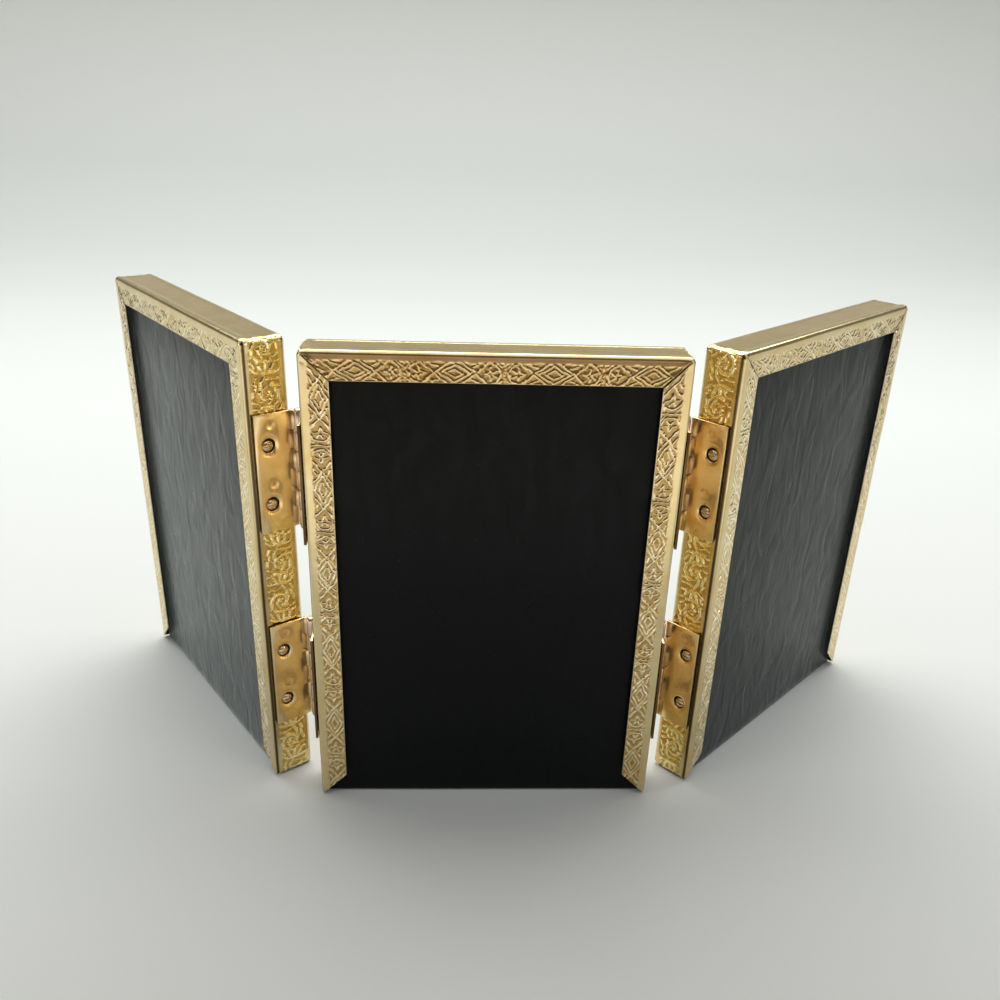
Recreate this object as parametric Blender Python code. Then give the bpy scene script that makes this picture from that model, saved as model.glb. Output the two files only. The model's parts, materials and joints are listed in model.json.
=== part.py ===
"""Three-panel folding picture frame of embossed sheet metal, standing on its bottom edges.

Each panel is a channel of thin sheet folded round a stack of glass, print, pad and backing board.
The side panels swing forward on butt hinges whose pins stand just in front of the panels' front
faces. The origin is the middle of the centre panel's foot, +Z is up and +Y is the picture side.
"""

import math

import bmesh
import bpy
from mathutils import Matrix, Vector

# The print and the room around it inside a panel
PRINT_WIDTH = 0.0889
PRINT_HEIGHT = 0.127
SIDE_ROOM = 0.00155
TOP_ROOM = 0.0017
GAP = 0.0003

# The folded sheet of a rim
SHEET = 0.0005
RIM_DEPTH = 0.0118
LIP_WIDTH = 0.0072
BEND_RADIUS = 0.001
CORNER_RADIUS = 0.0015
MITRE_GAP = 0.0003
MITRE_START = 0.0017

# What the rim holds, from the front to the back
GLASS_THICKNESS = 0.0018
PRINT_THICKNESS = 0.0004
BOARD_THICKNESS = 0.0024
BOARD_RECESS = 0.0014
STACK_CORNER = 0.001

# The hinges, two to each joint
HINGE_LENGTH = 0.032
HINGE_FROM_END = 0.0348
KNUCKLE_COUNT = 6
KNUCKLE_GAP = 0.0003
KNUCKLE_WALL = 0.00065
LEAF_THICKNESS = 0.0007
LEAF_STANDOFF = 0.0004
LEAF_FROM_BACK = 0.0015
WEB_OUT = 0.0007
WEB_RUN = 0.0016
WEB_ANGLE = 35
PIN_RADIUS = 0.0007
PIN_CLEARANCE = 0.00015
PIN_AHEAD = 0.001
PIN_HEAD_RADIUS = 0.0011
PIN_HEAD_HEIGHT = 0.0005
PIN_HEAD_GAP = 0.0002

# The slotted screws, two to each leaf, and the dished seat sunk round each
SCREW_SPACING = 0.016
SCREW_DROP = 0.0004
SCREW_FROM_BACK = 0.0052
SCREW_HEAD_RADIUS = 0.0014
SCREW_HEAD_HEIGHT = 0.0009
SCREW_SHANK_RADIUS = 0.0008
SCREW_HOLE_CLEARANCE = 0.00025
SCREW_SEAT_GAP = 0.0002
SCREW_END = 0.0006
SLOT_WIDTH = 0.0004
SLOT_DEPTH = 0.0004
DISH_FLOOR_RADIUS = 0.0018
DISH_RIM_RADIUS = 0.0025
DISH_DEPTH = 0.00035
DISH_OVAL = 1.2

# How far each side panel stands swung forward from lying flat with the centre one
LEFT_FOLD = math.radians(54.0)
RIGHT_FOLD = math.radians(42.5)

# Facets
BEND_STEPS = 3
CORNER_STEPS = 4
STACK_STEPS = 2
KNUCKLE_STEPS = 14
SCREW_STEPS = 12
DOME_ANGLES = (0, 30, 55, 75)
SMOOTH_BELOW = math.radians(35)
CUT_PAST = 0.001

# Sizes that follow
PANEL_WIDTH = PRINT_WIDTH + 2 * (SIDE_ROOM + SHEET)
PANEL_HEIGHT = PRINT_HEIGHT + GAP + TOP_ROOM + 2 * SHEET
BARREL_RADIUS = PIN_RADIUS + PIN_CLEARANCE + KNUCKLE_WALL
PIN_OUT = LEAF_STANDOFF + WEB_OUT + BARREL_RADIUS
LEAF_FACE = LEAF_STANDOFF + LEAF_THICKNESS
BACK_Y = -RIM_DEPTH / 2
FRONT_Y = RIM_DEPTH / 2
PIN_X = PANEL_WIDTH / 2 + PIN_OUT
PIN_Y = FRONT_Y + PIN_AHEAD
STACK_BOTTOM = SHEET + GAP
FOOT_OPEN = SHEET + BOARD_RECESS + BOARD_THICKNESS + GAP
HINGE_HEIGHTS = {"upper": PANEL_HEIGHT - HINGE_FROM_END, "lower": HINGE_FROM_END}
SCREW_OFFSETS = {"a": SCREW_SPACING / 2 - SCREW_DROP, "b": -SCREW_SPACING / 2 - SCREW_DROP}


def clear_scene():
    for thing in list(bpy.data.objects):
        bpy.data.objects.remove(thing, do_unlink=True)


def make_material(name, colour, roughness, metallic):
    material = bpy.data.materials.new(name)
    material.use_nodes = True
    shader = material.node_tree.nodes["Principled BSDF"]
    shader.inputs["Base Color"].default_value = (*colour, 1.0)
    shader.inputs["Roughness"].default_value = roughness
    shader.inputs["Metallic"].default_value = metallic
    return material


def make_object(name, mesh, material, parent=None, location=(0, 0, 0)):
    thing = bpy.data.objects.new(name, mesh)
    mesh.materials.append(material)
    bpy.context.scene.collection.objects.link(thing)
    thing.parent = parent
    thing.location = location
    return thing


def finish_mesh(bm, name, smooth=False):
    """Turns the bmesh into a mesh with its faces pointing out."""
    bmesh.ops.remove_doubles(bm, verts=bm.verts, dist=1e-7)
    bmesh.ops.dissolve_degenerate(bm, edges=bm.edges, dist=1e-7)
    bmesh.ops.recalc_face_normals(bm, faces=bm.faces)
    mesh = bpy.data.meshes.new(name)
    bm.to_mesh(mesh)
    bm.free()
    if smooth:
        mesh.shade_smooth()
        mesh.set_sharp_from_angle(angle=SMOOTH_BELOW)
    return mesh


def add_cutter(target, mesh, location=(0, 0, 0), operation="DIFFERENCE"):
    """A hidden guide, and the Boolean on the target that uses it."""
    guide = bpy.data.objects.new(f"guide_{mesh.name}", mesh)
    bpy.context.scene.collection.objects.link(guide)
    guide.parent = target.parent
    guide.location = Vector(target.location) + Vector(location)
    guide.hide_render = True
    guide.hide_set(True)
    guide.display_type = "WIRE"
    cut = target.modifiers.new(mesh.name, "BOOLEAN")
    cut.operation = operation
    cut.solver = "EXACT"
    cut.object = guide
    return guide


def prism(bm, outline, axis, start, end):
    """Extrudes a flat outline of two coordinates along the third axis."""
    def place(point, height):
        values = list(point)
        values.insert(axis, height)
        return values
    ends = []
    for height in (start, end):
        ends.append([bm.verts.new(place(point, height)) for point in outline])
    bm.faces.new(ends[0])
    bm.faces.new(ends[1])
    count = len(outline)
    for i in range(count):
        j = (i + 1) % count
        bm.faces.new((ends[0][i], ends[0][j], ends[1][j], ends[1][i]))


def turned(bm, profile, steps, axis_matrix):
    """Turns a profile of (radius, height) about its axis; ends at radius 0 close to a point."""
    rings = []
    for radius, height in profile:
        if radius < 1e-9:
            rings.append([bm.verts.new(axis_matrix @ Vector((0, 0, height)))])
            continue
        ring = []
        for i in range(steps):
            angle = 2 * math.pi * (i + 0.5) / steps
            spot = Vector((radius * math.cos(angle), radius * math.sin(angle), height))
            ring.append(bm.verts.new(axis_matrix @ spot))
        rings.append(ring)
    for low, high in zip(rings, rings[1:]):
        for i in range(steps):
            j = (i + 1) % steps
            corners = [low[i % len(low)], low[j % len(low)], high[j % len(high)], high[i % len(high)]]
            unique = list(dict.fromkeys(corners))
            bm.faces.new(unique)
    if len(rings[0]) > 1:
        bm.faces.new(rings[0])
    if len(rings[-1]) > 1:
        bm.faces.new(rings[-1])


def arc_points(centre, radius, start, end, steps):
    """Points on an arc given in degrees, both ends included."""
    points = []
    for i in range(steps + 1):
        angle = math.radians(start + (end - start) * i / steps)
        points.append((centre[0] + radius * math.cos(angle), centre[1] + radius * math.sin(angle)))
    return points


def channel_profile():
    """Section of the folded strip as (inward, depth) points, depth counted from the back."""
    outer, inner = BEND_RADIUS, BEND_RADIUS - SHEET
    back = (BEND_RADIUS, BEND_RADIUS)
    front = (BEND_RADIUS, RIM_DEPTH - BEND_RADIUS)
    points = [(LIP_WIDTH, 0.0)]
    points += arc_points(back, outer, 270, 180, BEND_STEPS)
    points += arc_points(front, outer, 180, 90, BEND_STEPS)
    points += [(LIP_WIDTH, RIM_DEPTH), (LIP_WIDTH, RIM_DEPTH - SHEET)]
    points += arc_points(front, inner, 90, 180, BEND_STEPS)
    points += arc_points(back, inner, 180, 270, BEND_STEPS)
    points += [(LIP_WIDTH, SHEET)]
    return points


def ring_points(inward):
    """The panel's rounded outline, moved inward; a corner past its radius is one point."""
    radius = max(CORNER_RADIUS - inward, 0.0)
    half = PANEL_WIDTH / 2 - max(inward, CORNER_RADIUS)
    low = max(inward, CORNER_RADIUS)
    high = PANEL_HEIGHT - low
    corners = (((half, high), 0), ((-half, high), 90), ((-half, low), 180), ((half, low), 270))
    points = []
    for centre, start in corners:
        points += arc_points(centre, radius, start, start + 90, CORNER_STEPS)
    return points


def rim_mesh(name):
    """The strip's section carried round the panel's outline."""
    bm = bmesh.new()
    rings = []
    for inward, depth in channel_profile():
        rings.append([bm.verts.new((x, BACK_Y + depth, z)) for x, z in ring_points(inward)])
    for k, ring in enumerate(rings):
        following = rings[(k + 1) % len(rings)]
        for i in range(len(ring)):
            j = (i + 1) % len(ring)
            bm.faces.new((ring[i], ring[j], following[j], following[i]))
    return finish_mesh(bm, name, smooth=True)


def open_foot_mesh(name):
    """What is cut away behind the foot, where the backing board stands down to the table.

    The cut takes the back lip there, with a 45 degree end at each side, and the bottom wall
    as far as the board's front face.
    """
    bm = bmesh.new()
    half = PANEL_WIDTH / 2 - MITRE_GAP / 2
    reach = LIP_WIDTH + CUT_PAST
    outline = [(-half - CUT_PAST, -CUT_PAST), (half + CUT_PAST, -CUT_PAST),
               (half - reach, reach), (-half + reach, reach)]
    prism(bm, outline, 1, BACK_Y - CUT_PAST, BACK_Y + FOOT_OPEN)
    return finish_mesh(bm, name)


def mitre_mesh(name, corners, low_y, high_y):
    """Narrow slits where the lips of two sides meet at a corner."""
    bm = bmesh.new()
    half_gap = MITRE_GAP / math.sqrt(2)
    for side, end in corners:
        corner = Vector((side * PANEL_WIDTH / 2, PANEL_HEIGHT if end > 0 else 0.0))
        inward = Vector((-side, -end))
        across = Vector((-side, end)) * half_gap / 2
        near = corner + inward * MITRE_START
        far = corner + inward * (LIP_WIDTH + CUT_PAST)
        outline = [tuple(p) for p in (near + across, far + across, far - across, near - across)]
        prism(bm, outline, 1, low_y, high_y)
    return finish_mesh(bm, name)


def screw_axis(out_sign, height):
    """Carries the local +Z of a turned piece to the outward side of a side wall."""
    turn = Matrix.Rotation(out_sign * math.pi / 2, 4, "Y")
    wall = Vector((out_sign * PANEL_WIDTH / 2, BACK_Y + SCREW_FROM_BACK, height))
    return Matrix.Translation(wall) @ turn


def holes_mesh(name, sides):
    """Cylinders that open the screw holes in the side walls that carry hinges."""
    bm = bmesh.new()
    radius = SCREW_SHANK_RADIUS + SCREW_HOLE_CLEARANCE
    for out_sign in sides:
        for centre in HINGE_HEIGHTS.values():
            for offset in SCREW_OFFSETS.values():
                profile = [(radius, -SHEET - SIDE_ROOM), (radius, CUT_PAST)]
                turned(bm, profile, SCREW_STEPS, screw_axis(out_sign, centre + offset))
    return finish_mesh(bm, name)


def make_rim(panel, material, hinge_sides, parent, location):
    rim = make_object(f"{panel}_rim", rim_mesh(f"{panel}_rim"), material, parent, location)
    add_cutter(rim, open_foot_mesh(f"{panel}_open_foot"))
    back = BACK_Y - CUT_PAST, BACK_Y + BEND_RADIUS
    front = FRONT_Y - BEND_RADIUS, FRONT_Y + CUT_PAST
    add_cutter(rim, mitre_mesh(f"{panel}_back_mitres", ((-1, 1), (1, 1)), *back))
    all_corners = ((-1, 1), (1, 1), (1, -1), (-1, -1))
    add_cutter(rim, mitre_mesh(f"{panel}_front_mitres", all_corners, *front))
    add_cutter(rim, holes_mesh(f"{panel}_screw_holes", hinge_sides))
    return rim


def stack_slab(name, half_width, bottom, top, front_depth, thickness):
    """A sheet in the stack, its front face at a depth counted from the panel's front."""
    bm = bmesh.new()
    half = half_width - STACK_CORNER
    low = bottom + STACK_CORNER
    high = top - STACK_CORNER
    outline = []
    for centre, start in (((half, high), 0), ((-half, high), 90), ((-half, low), 180), ((half, low), 270)):
        outline += arc_points(centre, STACK_CORNER, start, start + 90, STACK_STEPS)
    prism(bm, outline, 1, FRONT_Y - front_depth - thickness, FRONT_Y - front_depth)
    return finish_mesh(bm, name)


def make_stack(panel, materials, parent, location):
    """Glass, print, pad and backing board, each GAP behind the one in front of it.

    The board fills the channel and stands down to the table; the others have the print's size.
    """
    print_size = (PRINT_WIDTH / 2, STACK_BOTTOM, STACK_BOTTOM + PRINT_HEIGHT)
    board_size = (PANEL_WIDTH / 2 - SHEET - GAP, GAP, PANEL_HEIGHT - SHEET - GAP)
    filled = SHEET + GAP + GLASS_THICKNESS + GAP + PRINT_THICKNESS + GAP
    pad_thickness = RIM_DEPTH - filled - GAP - BOARD_THICKNESS - BOARD_RECESS - SHEET
    layers = (("glass", GLASS_THICKNESS), ("print", PRINT_THICKNESS),
              ("pad", pad_thickness), ("backing_board", BOARD_THICKNESS))
    front = SHEET + GAP
    for layer, thickness in layers:
        name = f"{panel}_{layer}"
        size = board_size if layer == "backing_board" else print_size
        mesh = stack_slab(name, *size, front, thickness)
        make_object(name, mesh, materials[layer], parent, location)
        front += thickness + GAP


def leaf_section():
    """The leaf's outer face, inner face and back edge, with the pin at the origin."""
    outer = -PIN_OUT + LEAF_STANDOFF
    inner = outer + LEAF_THICKNESS
    back = LEAF_FROM_BACK - RIM_DEPTH - PIN_AHEAD
    return outer, inner, back


def knuckle_outline():
    """Section of a knuckle with its leaf: wall on the -X side, front at +Y.

    In front of the wall's edge the leaf bends out as a web that runs into the barrel.
    """
    outer, inner, back = leaf_section()
    points = [(inner, -WEB_RUN), (inner, back), (outer, back), (outer, -WEB_RUN)]
    points += arc_points((0, 0), BARREL_RADIUS, 180, WEB_ANGLE - 180, KNUCKLE_STEPS)
    return points


def plate_outline(distance):
    """Section of the flat leaf up to a distance behind the pin, clear of the other's knuckles."""
    outer, inner, back = leaf_section()
    clear = (BARREL_RADIUS + GAP) ** 2 - inner ** 2
    front = -max(distance, math.sqrt(max(clear, 0.0)))
    return [(inner, back), (outer, back), (outer, front), (inner, front)]


def knuckle_spans():
    """Lowest and highest point of each knuckle, from the top down, about the hinge's middle."""
    pitch = HINGE_LENGTH / KNUCKLE_COUNT
    spans = []
    for i in range(KNUCKLE_COUNT):
        top = HINGE_LENGTH / 2 - i * pitch
        high = top - (KNUCKLE_GAP / 2 if i > 0 else 0.0)
        low = top - pitch + (KNUCKLE_GAP / 2 if i < KNUCKLE_COUNT - 1 else 0.0)
        spans.append((low, high))
    return spans


def mirror_if(bm, side):
    """Mirrors the leaf for a wall on the +X side."""
    if side > 0:
        bmesh.ops.scale(bm, vec=(-1, 1, 1), verts=bm.verts)


def leaf_seat_axis(side, height):
    """Seat frame on a leaf about the pin, +Z away from the wall, origin on the wall's face."""
    turn = Matrix.Rotation(-side * math.pi / 2, 4, "Y")
    spot = Vector((side * PIN_OUT, SCREW_FROM_BACK - RIM_DEPTH - PIN_AHEAD, height))
    return Matrix.Translation(spot) @ turn


def oval(matrix):
    """Lengthens a turned seat along the hinge; local X lies along the pin."""
    return matrix @ Matrix.Diagonal((DISH_OVAL, 1.0, 1.0, 1.0))


def dish_profile():
    """Cone of the sunk seat, carried on past the leaf's face so that it cuts clean."""
    widen = (DISH_RIM_RADIUS - DISH_FLOOR_RADIUS) / DISH_DEPTH
    past = DISH_RIM_RADIUS + widen * DISH_DEPTH
    return [(DISH_FLOOR_RADIUS, LEAF_FACE - DISH_DEPTH), (past, LEAF_FACE + DISH_DEPTH)]


def make_leaf(name, material, side, odd, parent, location):
    """A hinge leaf on the wall at the side -1 or +1 of the pin, with every other knuckle."""
    bm = bmesh.new()
    prism(bm, plate_outline(WEB_RUN), 2, -HINGE_LENGTH / 2, HINGE_LENGTH / 2)
    mirror_if(bm, side)
    leaf = make_object(name, finish_mesh(bm, name, smooth=True), material, parent, location)

    # Its own knuckles, and between them tabs that run on to the panel's front face
    spans = knuckle_spans()
    own = 0 if odd else 1
    bm = bmesh.new()
    for low, high in spans[own::2]:
        prism(bm, knuckle_outline(), 2, low, high)
    for low, high in spans[1 - own::2]:
        prism(bm, plate_outline(PIN_AHEAD), 2, low, high)
    mirror_if(bm, side)
    add_cutter(leaf, finish_mesh(bm, f"{name}_knuckles"), operation="UNION")

    bm = bmesh.new()
    bore = PIN_RADIUS + PIN_CLEARANCE
    past = HINGE_LENGTH / 2 + CUT_PAST
    turned(bm, [(bore, -past), (bore, past)], KNUCKLE_STEPS, Matrix.Identity(4))
    add_cutter(leaf, finish_mesh(bm, f"{name}_bore"))

    dishes, holes = bmesh.new(), bmesh.new()
    radius = SCREW_SHANK_RADIUS + SCREW_HOLE_CLEARANCE
    for offset in SCREW_OFFSETS.values():
        seat = leaf_seat_axis(side, offset)
        turned(dishes, dish_profile(), SCREW_STEPS, oval(seat))
        turned(holes, [(radius, 0.0), (radius, LEAF_FACE + CUT_PAST)], SCREW_STEPS, seat)
    add_cutter(leaf, finish_mesh(dishes, f"{name}_dishes"))
    add_cutter(leaf, finish_mesh(holes, f"{name}_holes"))
    return leaf


def pin_profile():
    """The pin, with a rounded head peened over each end."""
    ends = HINGE_LENGTH / 2 + PIN_HEAD_GAP
    chamfer = PIN_HEAD_HEIGHT / 2
    top = [(PIN_RADIUS, ends), (PIN_HEAD_RADIUS, ends), (PIN_HEAD_RADIUS, ends + chamfer),
           (PIN_HEAD_RADIUS - chamfer, ends + PIN_HEAD_HEIGHT), (0.0, ends + PIN_HEAD_HEIGHT)]
    bottom = [(radius, -height) for radius, height in reversed(top)]
    return bottom + top


def screw_profile():
    """Tip, shank and domed head, heights counted out from the wall's outer face."""
    under = LEAF_FACE - DISH_DEPTH + SCREW_SEAT_GAP
    chamfer = SCREW_END / 2
    tip = -SHEET - SCREW_END
    points = [(0.0, tip), (SCREW_SHANK_RADIUS - chamfer, tip), (SCREW_SHANK_RADIUS, tip + chamfer),
              (SCREW_SHANK_RADIUS, under), (SCREW_HEAD_RADIUS, under)]
    side = SCREW_HEAD_HEIGHT / 4
    dome = SCREW_HEAD_HEIGHT - side
    for angle in DOME_ANGLES:
        turn = math.radians(angle)
        points.append((SCREW_HEAD_RADIUS * math.cos(turn), under + side + dome * math.sin(turn)))
    points.append((0.0, under + SCREW_HEAD_HEIGHT))
    return points


def make_screw(name, material, side, offset, parent, location):
    """A screw of the leaf on the wall at side -1 or +1 of the pin, with its slot level."""
    axis = leaf_seat_axis(side, offset)
    bm = bmesh.new()
    turned(bm, screw_profile(), SCREW_STEPS, axis)
    screw = make_object(name, finish_mesh(bm, name, smooth=True), material, parent, location)

    half = SLOT_WIDTH / 2
    reach = SCREW_HEAD_RADIUS + CUT_PAST
    top = LEAF_FACE - DISH_DEPTH + SCREW_SEAT_GAP + SCREW_HEAD_HEIGHT
    outline = [(-half, top - SLOT_DEPTH), (half, top - SLOT_DEPTH),
               (half, top + CUT_PAST), (-half, top + CUT_PAST)]
    slot = bmesh.new()
    prism(slot, outline, 1, -reach, reach)
    bmesh.ops.transform(slot, matrix=axis, verts=slot.verts)
    add_cutter(screw, finish_mesh(slot, f"{name}_slot"))
    return screw


def make_hinges(label, side, metals, fold):
    """Both hinges of a joint; side is -1 on the left. The left-hand leaf has the odd knuckles."""
    for level, height in HINGE_HEIGHTS.items():
        fixed_spot = (side * PIN_X, PIN_Y, height)
        wing_spot = (0, 0, height)
        hinge = f"{label}_{level}"
        # A leaf lies on the wall at side -1 or +1 of the pin
        centre_side, wing_side = -side, side
        make_leaf(f"{hinge}_centre_leaf", metals["leaf"], centre_side, centre_side < 0, None, fixed_spot)
        make_leaf(f"{hinge}_wing_leaf", metals["leaf"], wing_side, wing_side < 0, fold, wing_spot)
        for place, offset in SCREW_OFFSETS.items():
            name = f"{hinge}_centre_screw_{place}"
            make_screw(name, metals["screw"], centre_side, offset, None, fixed_spot)
            name = f"{hinge}_wing_screw_{place}"
            make_screw(name, metals["screw"], wing_side, offset, fold, wing_spot)
        bm = bmesh.new()
        turned(bm, pin_profile(), KNUCKLE_STEPS, Matrix.Identity(4))
        pin = finish_mesh(bm, f"{hinge}_pin", smooth=True)
        make_object(f"{hinge}_pin", pin, metals["screw"], None, fixed_spot)


def make_panel(panel, materials, hinge_sides, parent, location):
    make_rim(panel, materials["rim"], hinge_sides, parent, location)
    make_stack(panel, materials, parent, location)


def make_fold(label, side, angle):
    """The empty on a joint's axis that carries a side panel, turned to its rest angle."""
    fold = bpy.data.objects.new(f"{label}_fold", None)
    bpy.context.scene.collection.objects.link(fold)
    fold.location = (side * PIN_X, PIN_Y, 0)
    fold.rotation_euler = (0, 0, side * angle)
    return fold


def build():
    clear_scene()
    materials = {
        "rim": make_material("gold_tone_sheet", (0.72, 0.56, 0.27), 0.35, 1.0),
        "glass": make_material("clear_glass", (0.9, 0.93, 0.92), 0.05, 0.0),
        "print": make_material("blank_print", (0.82, 0.80, 0.75), 0.5, 0.0),
        "pad": make_material("grey_card", (0.45, 0.40, 0.33), 0.9, 0.0),
        "backing_board": make_material("black_leatherette", (0.02, 0.02, 0.022), 0.45, 0.0),
        "leaf": make_material("polished_brass", (0.80, 0.55, 0.27), 0.15, 1.0),
        "screw": make_material("plated_steel", (0.70, 0.62, 0.50), 0.25, 1.0),
    }
    make_panel("centre", materials, (-1, 1), None, (0, 0, 0))
    for label, side, angle in (("left", -1, LEFT_FOLD), ("right", 1, RIGHT_FOLD)):
        fold = make_fold(label, side, angle)
        away = side * (PIN_OUT + PANEL_WIDTH / 2)
        make_panel(label, materials, (-side,), fold, (away, -PIN_Y, 0))
        make_hinges(label, side, materials, fold)
    bpy.context.view_layer.update()


build()
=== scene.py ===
# %% [markdown]
# # A tri-fold picture frame
# Three panels stand on their foot edges. Each is a channel of thin embossed gold-tone sheet, folded round
# a pane, a print, a card pad and a black backing board, and small brass butt hinges join them. We look at
# the backs, from a little above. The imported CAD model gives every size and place, and this file gives the
# pieces their embossing, their small bends and their finishes. Lengths are in metres, so a size in
# millimetres is written as a number times `MM`.

# %% Load the fixed frame
import json
import math

import bmesh
import bpy
import numpy as np
from mathutils import Matrix, Vector


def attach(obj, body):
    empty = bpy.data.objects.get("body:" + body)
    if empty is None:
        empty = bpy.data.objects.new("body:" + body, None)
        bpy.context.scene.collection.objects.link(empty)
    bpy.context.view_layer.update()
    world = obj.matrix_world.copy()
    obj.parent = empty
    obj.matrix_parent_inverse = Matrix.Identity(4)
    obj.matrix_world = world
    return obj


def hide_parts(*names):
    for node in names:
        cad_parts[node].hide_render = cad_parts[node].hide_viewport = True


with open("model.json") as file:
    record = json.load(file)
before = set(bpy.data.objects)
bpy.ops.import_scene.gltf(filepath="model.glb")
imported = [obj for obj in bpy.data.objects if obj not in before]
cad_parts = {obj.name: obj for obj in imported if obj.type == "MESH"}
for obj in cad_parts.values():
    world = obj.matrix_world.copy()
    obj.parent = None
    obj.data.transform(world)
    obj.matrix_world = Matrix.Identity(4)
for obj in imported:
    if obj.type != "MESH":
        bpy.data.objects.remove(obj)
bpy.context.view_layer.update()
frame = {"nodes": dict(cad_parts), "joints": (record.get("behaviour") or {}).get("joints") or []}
MM = 0.001


def shown(name, data):
    """A new object for a mesh, a lamp or a camera, put into the scene."""
    thing = bpy.data.objects.new(name, data)
    bpy.context.scene.collection.objects.link(thing)
    return thing


def to_mesh(name, bm):
    """A new mesh from a bmesh, which is freed."""
    mesh = bpy.data.meshes.new(name)
    bm.to_mesh(mesh)
    bm.free()
    return mesh


def verts_of(geom):
    """The vertices among what an operator made."""
    return [g for g in geom if isinstance(g, bmesh.types.BMVert)]


# %% [markdown]
# The camera stands behind the centre panel at nearly one and a half panel heights, and looks down by some
# 24 degrees. A wide lens this close makes the rims lean in towards the foot. Its place, its turns (in
# radians) and its lens were worked out from the corners of the three panels.

# %% Camera
CAMERA_PLACE = (-0.00897, -0.212306, 0.185159)
CAMERA_YAW = 0.0508
CAMERA_PITCH = 0.4187
CAMERA_ROLL = 0.0346
CAMERA_LENS = 32.905

camera_data = bpy.data.cameras.new("camera")
camera_data.sensor_width = 36
camera_data.lens = CAMERA_LENS
camera_data.clip_start = 0.01
camera = shown("camera", camera_data)
camera.matrix_world = (
    Matrix.Translation(CAMERA_PLACE)
    @ Matrix.Rotation(-CAMERA_YAW, 4, "Z")
    @ Matrix.Rotation(math.pi / 2 - CAMERA_PITCH, 4, "X")
    @ Matrix.Rotation(CAMERA_ROLL, 4, "Z")
)
bpy.context.scene.camera = camera
bpy.context.scene.view_settings.view_transform = "Standard"
print("camera at", CAMERA_PLACE)

# %% [markdown]
# Every material is a small node tree. Colours are written as sRGB hex values, as a colour picker shows
# them, but the shader works with linear light, so one function turns them round. A second one adds a node,
# sets its sockets and plugs in what feeds it, so each finish below reads from top to bottom. Every pattern
# starts from the point on the object, in metres, so a noise of scale 1000 has grains of a millimetre. A Mix
# node has sockets of the same name for each kind of data, so they are given by number: for colours, `i0` is
# the factor and `i6` and `i7` are what it mixes. A node that is plugged in whole gives its first output, or
# the one in `RESULT`.


# %% Helpers for finishes
def linear(colour):
    """A hex colour such as "#E7D5A6" as linear RGBA."""
    parts = [int(colour[i : i + 2], 16) / 255 for i in (1, 3, 5)]
    return (*[c / 12.92 if c <= 0.04045 else ((c + 0.055) / 1.055) ** 2.4 for c in parts], 1.0)


RESULT = {"ShaderNodeMix": 2, "ShaderNodeAttribute": 2}


def plug(tree, node, **inputs):
    """Sets a node's inputs: a value goes into its socket, and another node or its output is linked to it."""
    for name, value in inputs.items():
        key = int(name[1:]) if name[0] == "i" and name[1:].isdigit() else name.replace("_", " ")
        if isinstance(value, bpy.types.Node):
            value = value.outputs[RESULT.get(value.bl_idname, 0)]
        if isinstance(value, bpy.types.NodeSocket):
            tree.links.new(value, node.inputs[key])
        else:
            node.inputs[key].default_value = value


def add(tree, kind, settings=None, **inputs):
    """Adds a node. Settings go on the node itself, and a ramp's stops are (position, hex colour) pairs."""
    node = tree.nodes.new("ShaderNode" + kind)
    for name, value in (settings or {}).items():
        if name != "stops":
            setattr(node, name, value)
            continue
        elements = node.color_ramp.elements
        while len(elements) < len(value):
            elements.new(0.5)
        for element, (position, colour) in zip(elements, value):
            element.position = position
            element.color = linear(colour)
    plug(tree, node, **inputs)
    return node


def finish_of(name):
    """A new material: itself, its tree, its shader and the point on the object that it colours."""
    material = bpy.data.materials.new(name)
    material.use_nodes = True
    tree = material.node_tree
    tree.nodes.clear()
    shader = add(tree, "BsdfPrincipled")
    add(tree, "OutputMaterial", Surface=shader)
    return material, tree, shader, add(tree, "TexCoord").outputs["Object"]


print("a mid grey, linear:", round(linear("#808080")[0], 3))

# %% [markdown]
# The table and the wall behind it are one pale sweep, as in a small photo studio. It is made from a single
# edge that is pushed back, spun a quarter turn and pushed up. As a stage, it isn't part of the object.

# %% Floor and backdrop
FLOOR_HALF_WIDTH = 3.0
FLOOR_FRONT = -3.0
SWEEP_START = 0.9
SWEEP_RADIUS = 0.6
SWEEP_TOP = 2.6

bm = bmesh.new()
ends = [bm.verts.new((x, FLOOR_FRONT, 0)) for x in (-FLOOR_HALF_WIDTH, FLOOR_HALF_WIDTH)]
edge = bm.edges.new(ends)


def push(bm, edges, step):
    """Extrudes edges by a step and returns the new edges."""
    made = bmesh.ops.extrude_edge_only(bm, edges=edges)["geom"]
    bmesh.ops.translate(bm, verts=verts_of(made), vec=step)
    return [g for g in made if isinstance(g, bmesh.types.BMEdge)]


far = push(bm, [edge], (0, SWEEP_START - FLOOR_FRONT, 0))
far = [e for e in far if all(abs(v.co.y - SWEEP_START) < 1e-6 for v in e.verts)]
spun = bmesh.ops.spin(
    bm,
    geom=far + list({v for e in far for v in e.verts}),
    cent=(0, SWEEP_START, SWEEP_RADIUS),
    axis=(1, 0, 0),
    angle=math.pi / 2,
    steps=24,
)
last = [g for g in spun["geom_last"] if isinstance(g, bmesh.types.BMEdge)]
push(bm, last, (0, 0, SWEEP_TOP - SWEEP_RADIUS))
bmesh.ops.remove_doubles(bm, verts=bm.verts, dist=1e-5)
bmesh.ops.recalc_face_normals(bm, faces=bm.faces)
sweep_mesh = to_mesh("studio_sweep", bm)
sweep_mesh.shade_smooth()
sweep = shown("studio_sweep", sweep_mesh)
print("sweep:", len(sweep_mesh.polygons), "faces")

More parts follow.
